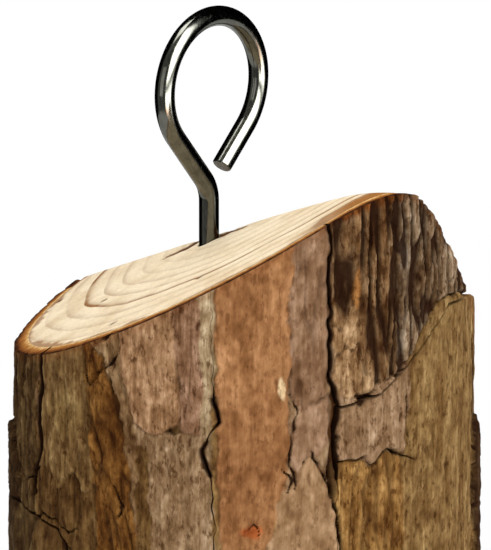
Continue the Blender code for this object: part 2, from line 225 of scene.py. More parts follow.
# Cracks on the show side: points, half width in mm, depth in mm
CRACKS = [
    ([(-66, 234), (-68, 232), (-71, 231)], 0.35, 1.2),
    ([(-66, 224), (-62, 226), (-56, 226), (-53, 225)], 0.30, 1.2),
    ([(-52.5, 224), (-50, 223.5), (-47, 226)], 0.28, 1.0),
    ([(-43.5, 263), (-42, 257.5), (-38, 261), (-33, 266)], 0.35, 1.0),
    ([(-33, 237), (-31, 233), (-32.5, 230)], 0.40, 1.0),
    ([(21.5, 244.5), (27, 243.5), (30, 244.3), (32, 242), (36, 244.5), (40, 242.5), (46, 241)], 0.26, 1.1),
    ([(16, 247), (19, 241), (21, 236.5), (23, 230), (24, 226), (25.5, 218)], 0.42, 1.5),
    ([(10, 262), (12.5, 256), (11, 250), (11, 243), (12, 238)], 0.26, 1.0),
    ([(8.5, 243), (11, 240), (10, 237)], 0.30, 0.9),
    ([(42, 256), (43, 250), (44.5, 243)], 0.22, 0.7),
    ([(27.5, 257.5), (30, 256.5), (33, 258)], 1.00, 1.6),
    ([(52, 273), (60, 273.5), (70, 272), (80, 270)], 0.32, 1.2),
    ([(0, 229), (2, 230.5), (3.5, 228.5)], 0.22, 0.5),
]

# Small marks of another colour: azimuth, height, half width, half height in mm, colour
MARKS = [
    (8.6, 261, 0.75, 2.3, (236, 205, 158)),
    (1.5, 229, 2.2, 1.3, (176, 92, 44)),
    (-26, 258, 0.45, 0.45, (88, 58, 34)),
    (27.5, 281, 0.9, 4.0, (190, 128, 68)),
    (56, 250, 1.6, 14.0, (112, 80, 42)),
    (69, 238, 1.3, 16.0, (112, 80, 42)),
    (-50, 250, 5.0, 5.5, (132, 104, 62)),
]


def linear(colour):
    """A colour of 0 to 255 per channel as the renderer's linear light."""
    share = np.asarray(colour, dtype=float) / 255
    return np.where(share <= 0.04045, share / 12.92, ((share + 0.055) / 1.055) ** 2.4)


def smooth(low, high, value):
    """0 below low, 1 above high, and an even rise between."""
    t = np.clip((value - low) / (high - low), 0, 1)
    return t * t * (3 - 2 * t)


def blend(a, b, share):
    return a + (b - a) * share


def bell(value, width):
    """1 where the value is 0, and less the further it is from 0."""
    return np.exp(-((value / width) ** 2))


# --- Noise on the log's surface ---

def scatter(column, row, seed):
    """A repeatable random number from 0 to 1 for each cell of a lattice."""
    mixed = (column * 374761393 + row * 668265263 + seed * 2246822519) & 0xFFFFFFFF
    mixed = ((mixed ^ (mixed >> 13)) * 1274126177) & 0xFFFFFFFF
    return ((mixed ^ (mixed >> 16)) & 0xFFFFFF) / float(0x1000000)


def lattice(azimuth, height, columns, along):
    """Places counted in cells, so many round the log and so tall in mm, and the cell that each is in."""
    u, v = azimuth / 360 * columns, height / (along * MM)
    return u, v, np.floor(u).astype(np.int64), np.floor(v).astype(np.int64)


def noise(azimuth, height, across, along, seed):
    """Smooth noise from -1 to 1, of features so wide and so tall in mm; it meets itself round the log."""
    columns = max(3, round(CIRCUMFERENCE / (across * MM)))
    u, v, column, row = lattice(azimuth, height, columns, along)
    s, t = u - column, v - row
    s, t = s * s * (3 - 2 * s), t * t * (3 - 2 * t)
    left, right = column % columns, (column + 1) % columns
    low = blend(scatter(left, row, seed), scatter(right, row, seed), s)
    high = blend(scatter(left, row + 1, seed), scatter(right, row + 1, seed), s)
    return 2 * blend(low, high, t) - 1


def layered_noise(azimuth, height, across, along, seed, layers=4):
    total, size = 0, 1.0
    for layer in range(layers):
        total = total + size * noise(azimuth, height, across * 0.5**layer, along * 0.5**layer, seed + layer)
        size *= 0.55
    return total / 1.8


def cells(azimuth, height, across, along, seed):
    """Irregular cells: a random number for each, and the distance to its border in mm."""
    columns = round(CIRCUMFERENCE / (across * MM))
    u, v, column, row = lattice(azimuth, height, columns, along)
    nearest = np.full(np.shape(u), 9.0)
    second = nearest.copy()
    number = np.zeros(np.shape(u))
    for i in (-1, 0, 1):
        for j in (-1, 0, 1):
            c, r = (column + i) % columns, row + j
            du = u - (column + i + scatter(c, r, seed))
            dv = v - (row + j + scatter(c, r, seed + 1))
            distance = np.hypot(du, dv)
            closer = distance < nearest
            second = np.where(closer, nearest, np.minimum(second, distance))
            number = np.where(closer, scatter(c, r, seed + 2), number)
            nearest = np.where(closer, distance, nearest)
    return number, (second - nearest) * across / 2


# --- Shapes laid out on the log's surface ---

def flat(azimuth, height):
    """A place on the bark as mm across and mm up."""
    return azimuth * MM_PER_DEGREE, height / MM


def piece_distance(x, y, start, end):
    """Distance to a straight piece of line, and how far along it, from 0 to 1."""
    dx, dy = end[0] - start[0], end[1] - start[1]
    t = np.clip(((x - start[0]) * dx + (y - start[1]) * dy) / (dx * dx + dy * dy), 0, 1)
    return np.hypot(x - start[0] - t * dx, y - start[1] - t * dy), t


def line_distance(x, y, points):
    """Distance in mm to a line of (azimuth, height in mm) points, and how far along it, from 0 to 1."""
    best, share = np.full(np.shape(x), 1e9), np.zeros(np.shape(x))
    for i, ((a, b), (c, d)) in enumerate(zip(points, points[1:])):
        distance, t = piece_distance(x, y, (a * MM_PER_DEGREE, b), (c * MM_PER_DEGREE, d))
        share = np.where(distance < best, (i + t) / (len(points) - 1), share)
        best = np.minimum(best, distance)
    return best, share


def inside_distance(x, y, outline):
    """Distance in mm to a closed outline, positive inside it."""
    closed = outline + outline[:1]
    distance, _ = line_distance(x, y, closed)
    inside = np.zeros(np.shape(x), dtype=bool)
    for (a, b), (c, d) in zip(closed, closed[1:]):
        if b != d:
            crosses = (b > y) != (d > y)
            inside ^= crosses & (x < (a + (c - a) * (y - b) / (d - b)) * MM_PER_DEGREE)
    return np.where(inside, distance, -distance)


def crack_height(points, azimuth):
    """Height of a crack that runs round the log."""
    azimuths, heights = zip(*points)
    return np.interp((azimuth + 90) % 360 - 90, azimuths, heights) * MM


def show_crack(azimuth):
    """The upright crack drawn at a seam's azimuth, or None."""
    return SHOW_CRACKS.get(azimuth if azimuth < 290 else azimuth - 360)


def seam_azimuth(azimuth, height):
    """Azimuth of an upright crack at a height: it wanders from side to side."""
    crack = show_crack(azimuth)
    if crack is None:
        return azimuth + SEAM_WAVE * np.sin(height / SEAM_WAVE_HEIGHT + 5 * math.radians(azimuth))
    heights, aside, _ = zip(*crack)
    return azimuth + np.interp(height / MM, heights, aside) + 0.5 * noise(height * 0, height, 40, 2.3, 5)


def seam_inset(azimuth, height):
    """Half the width of an upright crack, in degrees."""
    crack = show_crack(azimuth)
    if crack is None:
        return np.degrees(CRACK_OPEN / CORE_RADIUS) * np.ones_like(height)
    heights, _, half_widths = zip(*crack)
    return np.degrees(np.interp(height / MM, heights, half_widths) * MM / CORE_RADIUS)


def core_radius(azimuth, height):
    """The wood's radius, which is a little out of round and swells along the log."""
    angle = np.radians(azimuth)
    shape = OVAL * np.cos(2 * angle) + LOBES * np.cos(3 * angle - 1)
    swell = SWELL * np.sin(height / SWELL_HEIGHT + 2 * angle)
    return CORE_RADIUS * (1 + shape + swell)


def outward(azimuth):
    """The level direction that a port or perch faces, with azimuth 0 along -Y."""
    angle = math.radians(azimuth)
    return Vector((math.sin(angle), -math.cos(angle), 0))


def around(azimuth, radius):
    """X and Y of a place at a bark azimuth and a radius."""
    angle = np.radians(azimuth + SHOW_SIDE)
    return radius * np.sin(angle), -radius * np.cos(angle)


def azimuth_of(points):
    """Bark azimuth from -180 to 180 of each row of points."""
    angle = np.degrees(np.arctan2(points[:, 0], -points[:, 1])) - SHOW_SIDE
    return (angle + 180) % 360 - 180


# What counts as a sawn face of the top: its share of the height, how far it faces up, and its area
TOP_SHARE = 0.78
UPWARD = 0.3
SAWN_AREA = 200 * MM * MM


def sawn_planes():
    """The planes of the log's sawn top, read from the CAD's wood: (normal, distance) for each."""
    mesh = frame["nodes"]["log_core"].data
    planes = {}
    for face in mesh.polygons:
        if face.center.z > TOP_SHARE * CREST_HEIGHT and face.normal.z > UPWARD:
            key = tuple(round(value, 2) for value in face.normal)
            area, normal, centre = planes.get(key, (0, face.normal.copy(), face.center.copy()))
            planes[key] = (area + face.area, normal, centre)
    return [(np.array(n), float(n.dot(c))) for area, n, c in planes.values() if area > SAWN_AREA]


PLANES = sawn_planes()


def sawn_height(x, y):
    """Height of the sawn top over a place; its edges are worn rounder towards the crest."""
    heights = [(distance - normal[0] * x - normal[1] * y) / normal[2] for normal, distance in PLANES]
    lowest = np.minimum(np.minimum.reduce(heights), CREST_HEIGHT)
    side = outward(SHOW_SIDE + 90)
    wear = blend(0.1, CREST_WEAR, smooth(2 * MM, 34 * MM, x * side.x + y * side.y)) * MM
    above = sum(np.exp(-(height - lowest) / wear) for height in heights + [CREST_HEIGHT])
    return lowest - wear * np.log(above)


# --- The bark's relief and colours ---

def braid(azimuth, height, spacing, length, seed, spread):
    """Upright furrows that part and meet: 1 in a valley, 0 on a ridge; a wide spread makes wide valleys."""
    side_waves = noise(azimuth, height, spacing * 0.45, length * 0.4, seed + 9)
    return bell(noise(azimuth, height, spacing, length, seed) + 0.45 * side_waves, spread)


def shaded(colour, shade):
    """Colours made lighter or darker; darker bark is also warmer."""
    return colour * shade[:, None] ** WARMING


def wild_bark(azimuth, height):
    """Bark where nothing is laid out one by one: cells of common colours with cracks between them."""
    shifted = azimuth + 2.6 * layered_noise(azimuth, height, 9, 14, 3, 5)
    number, border = cells(shifted, height, 15, 42, 17)
    palette = np.array([linear(colour) for colour in COMMON_COLOURS])
    colour = palette[(number * len(COMMON_COLOURS)).astype(int) % len(COMMON_COLOURS)]
    lift = (number * 7 % 1 - 0.5) * 0.9
    crack = bell(border, 0.4) * smooth(-0.5, 0.1, noise(azimuth, height, 12, 16, 31))
    furrow = braid(azimuth, height, 3.6, 17, 40, COMMON_FURROW) * (0.3 + 0.7 * (number * 3 % 1))
    streak = layered_noise(azimuth, height, 1.8, 13, 45, 4)
    mottle = layered_noise(azimuth, height, 3.6, 5.6, 55, 4)
    colour = shaded(colour, np.clip(1 + 0.5 * streak + 0.6 * mottle, 0.15, 2.4))
    # The third value is painted shade: how dark the cracks between cells and the furrow valleys are made
    return lift - 1.3 * crack - 0.7 * furrow + 0.2 * mottle, colour, np.maximum(crack, 0.7 * furrow)


def bark_surface(azimuth, height):
    """Relief in mm, colour, and how dark the colour is painted as shade in cracks and furrow valleys, at each
    place.
    """
    azimuth = (azimuth + 180) % 360 - 180
    relief, colour, dark = wild_bark(azimuth, height)
    x, y = flat(azimuth, height)
    x = x + 0.95 * layered_noise(azimuth, height, 5, 5, 51, 4)
    y = y + 1.7 * layered_noise(azimuth, height, 5, 7, 61, 4)
    for index, (outline, hue, lift, depth, lean, rim) in enumerate(FLAKES):
        sides, levels = zip(*outline)
        left, right = min(sides) * MM_PER_DEGREE, max(sides) * MM_PER_DEGREE
        here = (x > left - 3) & (x < right + 3) & (y > min(levels) - 3)
        if not here.any():
            continue
        a, h = azimuth[here], height[here]
        leaned = a + math.tan(math.radians(lean)) * h / MM / MM_PER_DEGREE
        distance = inside_distance(x[here], y[here], outline)
        distance = distance + 0.7 * layered_noise(a, h, 1.6, 2.2, 600 + index, 3)
        mask = smooth(-0.3, 0.3, distance)
        spacing, length, spread = GRAIN.get(hue, COMMON_GRAIN)
        furrow = braid(leaned, h, spacing, length, 70 + 5 * index, spread)
        fine = braid(leaned, h, 1.5, 5, 500 + 5 * index, COMMON_FURROW)
        streak = layered_noise(leaned, h, 1.7, 11, 150 + 5 * index, 4)
        swayed = leaned + 2.4 * layered_noise(a, h, 8, 5, 230, 3)
        risen = h + 2.5 * MM * layered_noise(a, h, 5, 9, 240, 3)
        mottle = layered_noise(swayed, risen, 3.4, 6.5, 250 + 5 * index, 4)
        lumps = layered_noise(swayed, risen, 2.1, 3.1, 350 + 5 * index, 3)
        coarse = min(1, 0.22 + depth)
        own_relief = lift - depth * (furrow + 0.25 * fine) + (0.1 + 0.16 * depth) * lumps + 0.08 * streak
        # Painted shade: the furrow valleys are darkened
        valley = np.maximum(furrow, 0.55 * fine) * min(1, 0.9 * depth)
        shade = np.clip(1 + coarse * (0.6 * streak + 0.75 * mottle + 0.5 * lumps), 0.15, 2.4)
        # Painted highlight: a light band just inside the outline of each flake with an open crack round it
        shade = shade * (1 + 0.3 * min(rim, 0.5) * bell(distance - 0.9, 0.5))
        # Painted shade: the crack along each flake's outline is darkened as well as sunk
        fissure = rim * bell(distance, 0.38) * smooth(-0.45, 0.25, noise(a, h, 7, 9, 300 + index))
        relief[here] = blend(relief[here], own_relief, mask) - 0.9 * fissure
        colour[here] = blend(colour[here], shaded(linear(hue), shade), mask[:, None])
        dark[here] = np.maximum(blend(dark[here], valley, mask), fissure)
    for points, half_width, depth in CRACKS:
        distance, share = line_distance(x, y, points)
        width = half_width * (0.35 + 0.65 * np.sin(math.pi * np.clip(share, 0.03, 0.97)))
        groove = bell(distance, width * (1 + 0.6 * noise(azimuth, height, 2.5, 2.5, 91)))
        relief = relief - depth * groove
        # Painted shade: each crack is darkened along its groove, in broken runs
        broken = smooth(-0.8, 0, noise(azimuth, height, 2, 2, 93))
        dark = np.maximum(dark, smooth(0.15, 0.75, groove) * broken)
    for middle, level, half_width, half_height, hue in MARKS:
        mx, my = flat(middle, level * MM)
        reach = np.hypot((x - mx) / half_width, (y - my) / half_height)
        mask = 1 - smooth(0.7, 1.25, reach)
        colour = blend(colour, linear(hue), mask[:, None] * 0.85)
    below_saw = (sawn_height(*around(azimuth, core_radius(azimuth, height) + BARK_THICKNESS)) - height) / MM
    torn = 1 - smooth(0.5, 2.2, below_saw + 0.8 * layered_noise(azimuth, height, 2.5, 2.5, 430, 3))
    torn = torn * blend(0.25, 1, smooth(18, 24, azimuth) * (1 - smooth(36, 46, azimuth)))
    colour = blend(colour, linear(TORN_ORANGE), torn[:, None])
    grit = layered_noise(azimuth, height, 1.1, 1.7, 400, 3)
    relief = relief + 0.14 * grit
    relief = relief * blend(1, 0.45, smooth(44, 56, azimuth) * (1 - smooth(0, 6, below_saw)))
    patch = layered_noise(azimuth, height, 7, 12, 410, 3)
    colour = shaded(colour, np.clip(1 + 0.42 * grit + 0.3 * patch, 0.2, 2))
    relief = relief + 0.25 * layered_noise(azimuth, height, 11, 17, 420, 3)
    return relief, colour, np.clip(dark, 0, 1)


def seam_reach(azimuth, height):
    """Distance in mm to the edge of the nearest open crack between plates."""
    x, y = flat(azimuth, height)
    reach = np.full(np.shape(x), 9.0)
    for left, _, lower, upper, _ in BARK_PLATES.values():
        gap = (azimuth - seam_azimuth(left, height) + 180) % 360 - 180
        opening = seam_inset(left, height) / math.degrees(CRACK_OPEN / CORE_RADIUS)
        beside = height > crack_height(lower, azimuth) - MM
        if upper:
            beside &= height < crack_height(upper, azimuth) + MM
        aside = np.maximum(np.abs(gap) - seam_inset(left, height), 0)
        distance = aside * MM_PER_DEGREE + 9 * (1 - smooth(0.3, 0.8, opening))
        reach = np.where(beside, np.minimum(reach, distance), reach)
    return reach


# --- Mesh building ---

def new_object(name, data):
    obj = bpy.data.objects.new(name, data)
    bpy.context.scene.collection.objects.link(obj)
    return obj


def mesh_object(name, points, faces, materials, face_materials=None, sharp=45):
    mesh = bpy.data.meshes.new(name)
    mesh.from_pydata(np.asarray(points).tolist(), [], faces)
    for material in materials:
        mesh.materials.append(material)
    if face_materials is not None:
        mesh.polygons.foreach_set("material_index", np.asarray(face_materials, dtype=np.int32))
    builder = bmesh.new()
    builder.from_mesh(mesh)
    bmesh.ops.recalc_face_normals(builder, faces=builder.faces)
    builder.to_mesh(mesh)
    builder.free()
    mesh.shade_smooth()
    mesh.set_sharp_from_angle(angle=math.radians(sharp))
    return new_object(name, mesh)


def tube_faces(rows, sides):
    """Faces between rows of points that each run round a tube, first row first."""
    index = np.arange(rows * sides).reshape(rows, sides)
    after = np.roll(index, -1, axis=1)
    return np.stack([index[:-1], after[:-1], after[1:], index[1:]], axis=-1).reshape(-1, 4).tolist()


def rod_object(name, points, sides, material, sharp):
    """A closed rod of rows of points, so many to a row."""
    whole = list(range(len(points)))
    ends = [whole[:sides][::-1], whole[-sides:]]
    return mesh_object(name, points, tube_faces(len(points) // sides, sides) + ends, [material], sharp=sharp)


def points_of(obj):
    flat_points = np.empty(len(obj.data.vertices) * 3)
    obj.data.vertices.foreach_get("co", flat_points)
    return flat_points.reshape(-1, 3)


def store(obj, name, values, kind="FLOAT", field="value"):
    """Keeps a value for each point of a mesh, for its material to read by name."""
    made = obj.data.attributes.new(name, kind, "POINT")
    made.data.foreach_set(field, np.asarray(values, dtype=np.float32).ravel())


def drill(obj, start, end, radius, sides):
    """Bores a round hole through an object."""
    builder = bmesh.new()
    along = end - start
    bmesh.ops.create_cone(
        builder, cap_ends=True, segments=sides, radius1=radius, radius2=radius, depth=along.length
    )
    placed = Matrix.Translation((start + end) / 2) @ along.to_track_quat("Z", "Y").to_matrix().to_4x4()
    bmesh.ops.transform(builder, matrix=placed, verts=builder.verts)
    mesh = bpy.data.meshes.new("drill")
    builder.to_mesh(mesh)
    builder.free()
    cutter = new_object("drill", mesh)
    modifier = obj.modifiers.new("bore", "BOOLEAN")
    modifier.operation = "DIFFERENCE"
    modifier.solver = "MANIFOLD"
    modifier.object = cutter
    bpy.context.view_layer.update()
    graph = bpy.context.evaluated_depsgraph_get()
    bored = bpy.data.meshes.new_from_object(obj.evaluated_get(graph))
    obj.modifiers.remove(modifier)
    if len(bored.vertices) == len(obj.data.vertices):
        raise RuntimeError("nothing was bored out of " + obj.name)
    old, obj.data = obj.data, bored
    bpy.data.meshes.remove(old)
    bpy.data.objects.remove(cutter)


def bore_feeder_holes(obj, number, port_floor=0.0, perch_floor=0.0):
    """Bores a port and the perch hole below it, each from its floor, so far from the log's axis, outward."""
    azimuth, height = PORTS[number]
    out = outward(azimuth)
    port = (height, port_floor, PORT_RADIUS, 96)
    perch_hole = (height - PERCH_DROP, perch_floor, PERCH_RADIUS + HOLE_GAP, 48)
    for level, floor, radius, sides in (port, perch_hole):
        centre = Vector((0, 0, level))
        drill(obj, centre + out * floor, centre + out * 2 * CORE_RADIUS, radius, sides)


# --- Bark plates ---

# How many grid steps of a plate's outer face there are to one of its inner face
COARSE = 8


def plate_places(name, across, up, radius_at):
    """Azimuth and height at shares of the way across and up a plate, whose top may be sawn."""
    left, right, lower, upper, _ = BARK_PLATES[name]
    azimuth = left + (right - left) * across
    for _ in range(5):
        bottom = crack_height(lower, azimuth) + (0 if lower is FOOT else LEVEL_CRACK)
        if upper is SAWN_TOP or upper is CREST_EDGE:
            top = CREST_HEIGHT * np.ones_like(azimuth)
            for _ in range(3):
                top = sawn_height(*around(azimuth, radius_at(azimuth, top)))
        if upper is CREST_EDGE:
            edge = crack_height(upper, azimuth) - LEVEL_CRACK
            top = blend(edge, np.minimum(edge, top), smooth(*CREST_SHOULDER, azimuth))
        elif upper is not SAWN_TOP:
            top = crack_height(upper, azimuth) - LEVEL_CRACK
        height = bottom + (top - bottom) * up
        start = seam_azimuth(left, height) + seam_inset(left, height)
        end = seam_azimuth(right, height) - seam_inset(right, height)
        azimuth = start + (end - start) * across
    return azimuth, height


def inner_radius(azimuth, height):
    return core_radius(azimuth, height) + BARK_GAP


def outer_radius(azimuth, height):
    relief, _, _ = bark_surface(azimuth, height)
    edge = 0.7 * np.exp(-seam_reach(azimuth, height) / 0.7)
    return inner_radius(azimuth, height) + BARK_THICKNESS + (np.maximum(relief, -2.7) - edge) * MM


def grid_of(name, columns, rows, radius_at):
    across, up = np.meshgrid(np.linspace(0, 1, columns + 1), np.linspace(0, 1, rows + 1))
    azimuth, height = plate_places(name, across.ravel(), up.ravel(), radius_at)
    x, y = around(azimuth, radius_at(azimuth, height))
    return np.stack([x, y, height], axis=1)


def grid_faces(index, flip):
    quads = np.stack([index[:-1, :-1], index[:-1, 1:], index[1:, 1:], index[1:, :-1]], axis=-1).reshape(-1, 4)
    return quads[:, ::-1].tolist() if flip else quads.tolist()


def wall_faces(fine, coarse, flip):
    """Faces between a fine edge and a coarse one that has every COARSE-th of its points."""
    fine, coarse = fine.tolist(), coarse.tolist()
    faces = []
    for i in range(len(coarse) - 1):
        run = fine[i * COARSE : (i + 1) * COARSE + 1]
        faces += [(coarse[i], a, b) for a, b in zip(run, run[1:])]
        faces.append((coarse[i], run[-1], coarse[i + 1]))
    return [face[::-1] for face in faces] if flip else faces


def make_bark_plate(name, bark, sawn_bark):
    left, right, lower, upper, step = BARK_PLATES[name]
    middle = (left + right) / 2
    floor = crack_height(lower, middle)
    ceiling = CREST_HEIGHT if upper is SAWN_TOP else crack_height(upper, middle)
    columns = COARSE * math.ceil((right - left) * MM_PER_DEGREE / step / COARSE)
    rows = COARSE * math.ceil((ceiling - floor) / (step * MM) / COARSE)
    outer = grid_of(name, columns, rows, outer_radius)
    inner = grid_of(name, columns // COARSE, rows // COARSE, inner_radius)
    fine = np.arange(len(outer)).reshape(rows + 1, columns + 1)
    coarse = len(outer) + np.arange(len(inner)).reshape(rows // COARSE + 1, columns // COARSE + 1)
    faces = grid_faces(fine, False) + grid_faces(coarse, True)
    faces += wall_faces(fine[0], coarse[0], False)
    faces += wall_faces(fine[:, 0], coarse[:, 0], True)
    faces += wall_faces(fine[:, -1], coarse[:, -1], False)
    top = wall_faces(fine[-1], coarse[-1], True)
    kinds = [0] * len(faces) + [1 if upper is SAWN_TOP else 0] * len(top)
    plate = mesh_object(name + "_skin", np.concatenate([outer, inner]), faces + top, [bark, sawn_bark], kinds)
    if name in PORT_PLATES:
        bore_feeder_holes(plate, PORT_PLATES[name])
    paint_bark(plate)
    return plate


def paint_bark(plate):
    points = points_of(plate)
    azimuth, height = azimuth_of(points), points[:, 2]
    _, colour, dark = bark_surface(azimuth, height)
    radius = np.hypot(points[:, 0], points[:, 1])
    depth = (radius - inner_radius(azimuth, height)) / BARK_THICKNESS
    # Painted shade: darker along the open seams between plates, and on the walls and inner faces that lie below
    # the outer skin
    seam = bell(seam_reach(azimuth, height), 0.35)
    sunken_shade = 1 - smooth(0.1, 0.45, depth)
    tint = np.concatenate([np.clip(colour, 0, 1), np.ones((len(colour), 1))], axis=1)
    store(plate, "tint", tint, "FLOAT_COLOR", "color")
    # The crack attribute holds painted shade for cracks, furrow valleys, seams and sunken faces
    store(plate, "crack", np.maximum.reduce([dark, 0.8 * seam, sunken_shade]))
    store(plate, "depth", depth)


# --- Materials ---

def new_material(name, roughness, metallic=0.0, specular=0.5):
    material = bpy.data.materials.new(name)
    material.use_nodes = True
    inputs = material.node_tree.nodes["Principled BSDF"].inputs
    inputs["Roughness"].default_value = roughness
    inputs["Metallic"].default_value = metallic
    inputs["Specular IOR Level"].default_value = specular
    return material, material.node_tree


def add(tree, kind, inputs=None, **settings):
    """Adds a shader node; an input is a socket to link or a value to set."""
    made = tree.nodes.new("ShaderNode" + kind)
    for key, value in settings.items():
        setattr(made, key, value)
    for key, value in (inputs or {}).items():
        if isinstance(value, bpy.types.NodeSocket):
            tree.links.new(value, made.inputs[key])
        else:
            made.inputs[key].default_value = value
    return made


def mix(tree, factor, a, b, kind="MIX"):
    """Mixes two colours; MULTIPLY and ADD take the second as the layer."""
    made = tree.nodes.new("ShaderNodeMix")
    made.data_type = "RGBA"
    made.blend_type = kind
    for socket, value in ((0, factor), (6, a), (7, b)):
        if isinstance(value, bpy.types.NodeSocket):
            tree.links.new(value, made.inputs[socket])
        else:
            made.inputs[socket].default_value = value if socket == 0 else (*value, 1)
    return made.outputs[2]


def times(tree, a, b):
    return mix(tree, 1.0, a, b, "MULTIPLY")


def share_ramp(tree, value, stops):
    """A ramp from (position, value for all channels or for each) stops."""
    made = add(tree, "ValToRGB", {0: value})
    elements = made.color_ramp.elements
    while len(elements) < len(stops):
        elements.new(0.5)
    for element, (position, share) in zip(elements, stops):
        element.position = position
        element.color = (*(np.ones(3) * share), 1)
    return made.outputs[0]


def ramp(tree, value, stops):
    """A ramp from (position, colour of 0 to 255) stops."""
    return share_ramp(tree, value, [(position, linear(colour)) for position, colour in stops])


def attribute(tree, name, output="Fac"):
    return add(tree, "Attribute", attribute_name=name).outputs[output]


def number_math(tree, operation, *inputs):
    return add(tree, "Math", dict(enumerate(inputs)), operation=operation).outputs[0]


def vector_math(tree, operation, *inputs, output=0):
    return add(tree, "VectorMath", dict(enumerate(inputs)), operation=operation).outputs[output]


def warm_grey(shade):
    """A factor for each channel that darkens bark as it does in its crevices."""
    return np.array([shade**power for power in WARMING])


def place(tree, stretch=(1, 1, 1)):
    """Places on the object, squeezed along an axis to draw patterns out along it."""
    coordinates = add(tree, "TexCoord").outputs["Object"]
    return vector_math(tree, "MULTIPLY", coordinates, stretch)


def grain_noise(tree, squeeze, size, detail=4.0, roughness=0.6):
    """Noise with features of a size in mm, drawn out along Z where that axis is squeezed."""
    inputs = {"Vector": place(tree, (1, 1, squeeze)), "Scale": 1 / (size * MM)}
    inputs.update({"Detail": detail, "Roughness": roughness})
    return add(tree, "TexNoise", inputs).outputs["Fac"]


def finish_material(material, colour, height, distance, strength=1.0):
    """Gives a material its colour, and bumps from a height of 0 to 1 that stands for a distance."""
    tree = material.node_tree
    inputs = tree.nodes["Principled BSDF"].inputs
    bumps = add(tree, "Bump", {"Height": height, "Distance": distance, "Strength": strength})
    tree.links.new(bumps.outputs[0], inputs["Normal"])
    tree.links.new(colour, inputs["Base Color"])
    return material


def bark_material(name, roughness, streak, specks, dusty):
    """Bark: the surface's own tint with fine fibres, dust, pores and dark flecks, and painted shade in its cracks,
    furrow valleys and the gaps between plates.
    """
    material, tree = new_material(name, roughness, specular=0.04)
    tint = attribute(tree, "tint", "Color")
    crack = attribute(tree, "crack")
    fibres = grain_noise(tree, 0.09, 0.9, 5, 0.7)
    dust = grain_noise(tree, 0.6, 2.6, 5, 0.75)
    pores = grain_noise(tree, 0.5, 0.45, 2, 0.5)
    fibre_stops = [(0.28, warm_grey(1 - streak)), (0.5, warm_grey(1.0)), (0.72, warm_grey(1 + streak))]
    fibre_shade = share_ramp(tree, fibres, fibre_stops)
    colour = times(tree, tint, fibre_shade)
    dust_stops = [(0.32, warm_grey(1 - dusty)), (0.5, warm_grey(1.0)), (0.7, warm_grey(1 + dusty))]
    dust_shade = share_ramp(tree, dust, dust_stops)
    colour = times(tree, colour, dust_shade)
    pore_mask = share_ramp(tree, pores, [(0.24, 1.0), (0.34, 0.0)])
    pore_share = number_math(tree, "MULTIPLY", pore_mask, specks)
    colour = mix(tree, pore_share, colour, linear(PORE_BROWN))
    flecks = grain_noise(tree, 0.45, 1.25, 4, 0.65)
    fleck_mask = share_ramp(tree, flecks, [(0.36, min(0.85, specks * 1.5)), (0.45, 0.0)])
    colour = mix(tree, fleck_mask, colour, times(tree, colour, (0.3, 0.2, 0.12)))
    # Painted shade: where the crack attribute is high, in cracks, furrow valleys and the faces in the gaps between
    # plates, the colour turns dark brown
    crevice_shade_share = share_ramp(tree, crack, [(0.1, 0.0), (0.8, 0.95)])
    colour = mix(tree, crevice_shade_share, colour, linear(CREVICE_SHADE_BROWN))
    return finish_material(material, colour, number_math(tree, "ADD", fibres, pores), 0.25 * MM, 0.8)


def sawn_bark_material():
    """The sawn edge of the bark: pale next to the wood, then orange, then dark at the outside."""
    material, tree = new_material("sawn_bark", 0.8, specular=0.04)
    depth = attribute(tree, "depth")
    uneven = grain_noise(tree, 1, 1.8, 5, 0.7)
    spread = number_math(tree, "MULTIPLY_ADD", uneven, 0.9, -0.45)
    level = number_math(tree, "ADD", depth, spread)
    stops = [(0.0, (230, 198, 144)), (0.12, (208, 160, 98)), (0.3, (172, 114, 54)), (0.58, (128, 74, 30)),
             (0.8, (68, 35, 12)), (0.94, (36, 16, 7))]
    colour = ramp(tree, level, stops)
    fine = grain_noise(tree, 1, 0.5, 3, 0.6)
    shade = share_ramp(tree, fine, [(0.3, 0.8), (0.7, 1.1)])
    return finish_material(material, times(tree, colour, shade), fine, 0.3 * MM)


PITH = (11.3 * MM, -0.7 * MM, 0)
RING_WIDTH = 4.3 * MM
RING_WARP = 6 * MM


